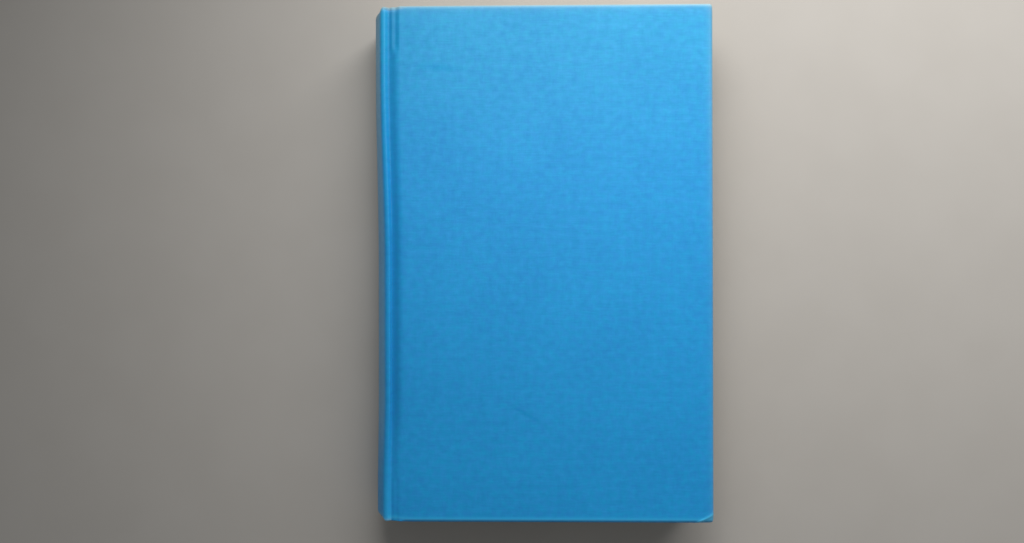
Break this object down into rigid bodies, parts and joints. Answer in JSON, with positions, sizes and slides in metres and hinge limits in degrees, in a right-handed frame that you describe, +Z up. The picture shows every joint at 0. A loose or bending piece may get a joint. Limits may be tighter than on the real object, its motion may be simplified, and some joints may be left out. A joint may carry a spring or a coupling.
{
  "type": "hardback book",
  "caption": "Closed clothbound hardback book with a rounded spine, grooved joints, plain cloth covers that open, headbands and a bumped corner.",
  "frame": {"origin": "under the middle of the closed book, on the back cover's outer face", "axes": "+X from the spine to the fore edge, +Y from the tail to the head, +Z up from the back cover to the front cover"},
  "size_m": [0.146, 0.222, 0.03],
  "materials": {
    "cloth": "fine blue linen book cloth, matt",
    "board": "grey pasteboard",
    "pages": "cream book paper, trimmed edges",
    "endpaper": "plain cream endpaper",
    "mull": "open-weave cotton",
    "lining": "brown kraft paper",
    "headband": "woven thread"
  },
  "bodies": {
    "book_block": {"text_block": "pages", "front_flyleaf": "endpaper", "back_flyleaf": "endpaper", "spine_mull": "mull", "spine_lining": "lining", "head_band": "headband", "tail_band": "headband", "spine_inlay": "board", "spine_cloth": "cloth"},
    "front_cover": {"front_board": "board", "front_cloth": "cloth", "front_mull": "mull", "front_pastedown": "endpaper"},
    "back_cover": {"back_board": "board", "back_cloth": "cloth", "back_mull": "mull", "back_pastedown": "endpaper"}
  },
  "joints": [
    {"name": "front_cover_hinge", "type": "hinge", "parent": "book_block", "child": "front_cover", "pos_m": [-0.06189, 0, 0.0301], "axis": [0, -1, 0], "range_deg": [0, 178]},
    {"name": "back_cover_hinge", "type": "hinge", "parent": "book_block", "child": "back_cover", "pos_m": [-0.06189, 0, -0.0001], "axis": [0, 1, 0], "range_deg": [0, 178]}
  ]
}
